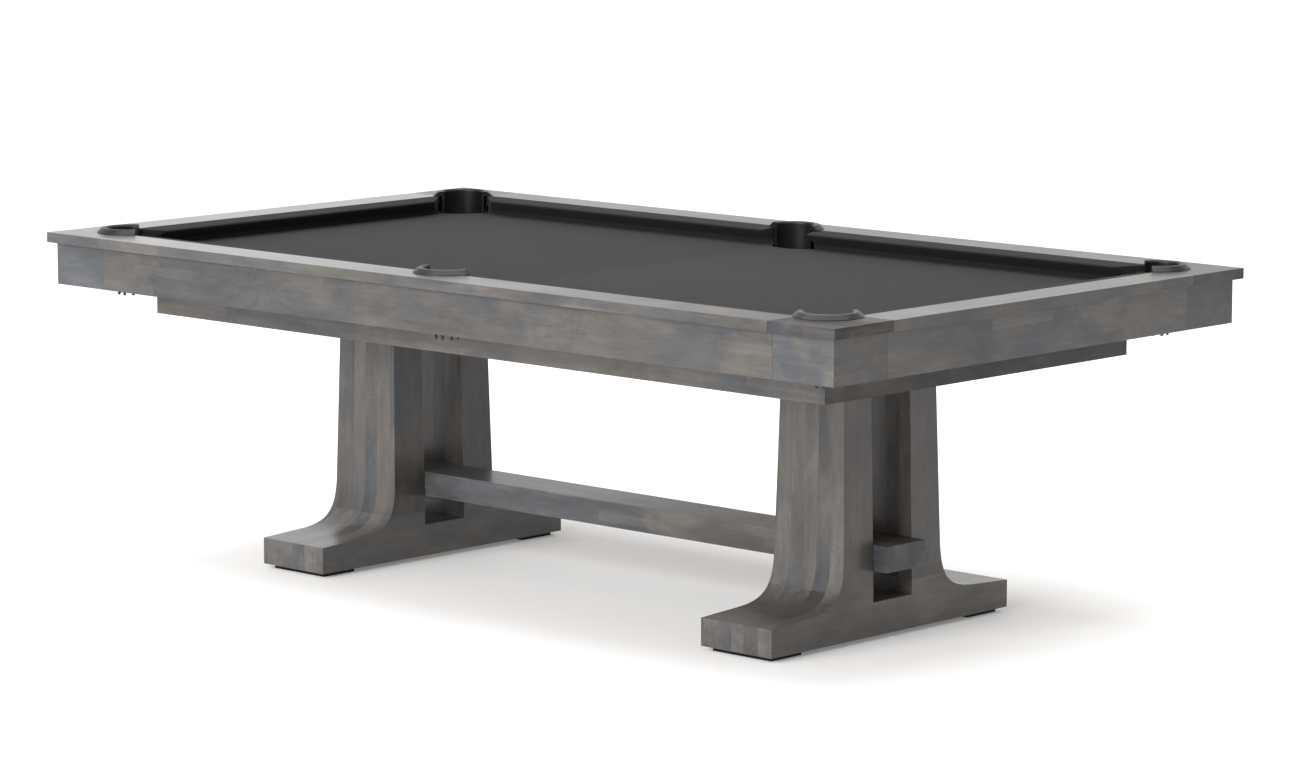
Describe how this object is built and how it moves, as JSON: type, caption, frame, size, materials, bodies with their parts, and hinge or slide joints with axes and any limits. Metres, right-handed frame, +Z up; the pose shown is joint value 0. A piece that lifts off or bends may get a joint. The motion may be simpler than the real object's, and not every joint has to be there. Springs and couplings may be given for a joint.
{
  "type": "pool table",
  "caption": "Pool table with a cloth-covered slate bed, cushioned wooden rails with drop pockets, and two trestle pedestals joined by a through stretcher.",
  "frame": {"origin": "on the floor, below the middle of the table", "axes": "+X along the table's length, +Y across its width, +Z up"},
  "size_m": [2.5352, 1.4176, 0.8248],
  "materials": {
    "cap_wood": "grey-stained maple, satin lacquer",
    "apron_wood": "grey-stained maple, satin lacquer",
    "frame_wood": "grey-stained maple, satin lacquer",
    "pedestal_wood": "grey-stained laminated maple, satin lacquer",
    "inner_wood": "unfinished hardwood",
    "stained_wood": "black-stained hardwood, matte",
    "slate": "honed slate",
    "bed_cloth": "charcoal worsted cloth",
    "rail_cloth": "charcoal worsted cloth",
    "cushion_rubber": "natural gum rubber",
    "zinc_steel": "zinc-plated steel",
    "brass_pin": "turned brass",
    "pocket_rim": "gloss black moulded plastic",
    "pocket_basket": "black moulded rubber",
    "leveler_pad": "matte black moulded pad"
  },
  "bodies": {
    "table": {"apron_brackets": "zinc_steel", "apron_corners": "apron_wood", "apron_front": "apron_wood", "apron_left": "apron_wood", "apron_rear": "apron_wood", "apron_right": "apron_wood", "bed_cloth": "bed_cloth", "corner_cap_front_left": "cap_wood", "corner_cap_front_right": "cap_wood", "corner_cap_rear_left": "cap_wood", "corner_cap_rear_right": "cap_wood", "cushion_facings": "cushion_rubber", "cushion_rubbers": "cushion_rubber", "feather_strips": "inner_wood", "foot_left": "pedestal_wood", "foot_right": "pedestal_wood", "frame_beams": "inner_wood", "frame_board_front": "frame_wood", "frame_board_left": "frame_wood", "frame_board_rear": "frame_wood", "frame_board_right": "frame_wood", "frame_bolts": "zinc_steel", "leveler_sockets": "zinc_steel", "pedestal_bolts": "zinc_steel", "pedestal_plates": "inner_wood", "pocket_baskets": "pocket_basket", "pocket_rim_front_left": "pocket_rim", "pocket_rim_front_right": "pocket_rim", "pocket_rim_front_side": "pocket_rim", "pocket_rim_rear_left": "pocket_rim", "pocket_rim_rear_right": "pocket_rim", "pocket_rim_rear_side": "pocket_rim", "post_front_left": "pedestal_wood", "post_front_right": "pedestal_wood", "post_rear_left": "pedestal_wood", "post_rear_right": "pedestal_wood", "rail_cap_front": "cap_wood", "rail_cap_left": "cap_wood", "rail_cap_rear": "cap_wood", "rail_cap_right": "cap_wood", "rail_cloth_front_left": "rail_cloth", "rail_cloth_front_right": "rail_cloth", "rail_cloth_left": "rail_cloth", "rail_cloth_rear_left": "rail_cloth", "rail_cloth_rear_right": "rail_cloth", "rail_cloth_right": "rail_cloth", "rail_cores": "stained_wood", "rail_fasteners": "zinc_steel", "slate_backers": "inner_wood", "slate_left": "slate", "slate_middle": "slate", "slate_pins": "brass_pin", "slate_right": "slate", "slate_screws": "zinc_steel", "stretcher": "pedestal_wood", "stretcher_dowels": "inner_wood"},
    "leveler_front_left": {"leveler_front_left": "leveler_pad"},
    "leveler_front_right": {"leveler_front_right": "leveler_pad"},
    "leveler_rear_left": {"leveler_rear_left": "leveler_pad"},
    "leveler_rear_right": {"leveler_rear_right": "leveler_pad"}
  },
  "joints": [
    {"name": "leveler_front_left_screw", "type": "slide", "parent": "table", "child": "leveler_front_left", "axis": [0, 0, -1], "range_m": [0, 0.012]},
    {"name": "leveler_front_right_screw", "type": "slide", "parent": "table", "child": "leveler_front_right", "axis": [0, 0, -1], "range_m": [0, 0.012]},
    {"name": "leveler_rear_left_screw", "type": "slide", "parent": "table", "child": "leveler_rear_left", "axis": [0, 0, -1], "range_m": [0, 0.012]},
    {"name": "leveler_rear_right_screw", "type": "slide", "parent": "table", "child": "leveler_rear_right", "axis": [0, 0, -1], "range_m": [0, 0.012]}
  ]
}
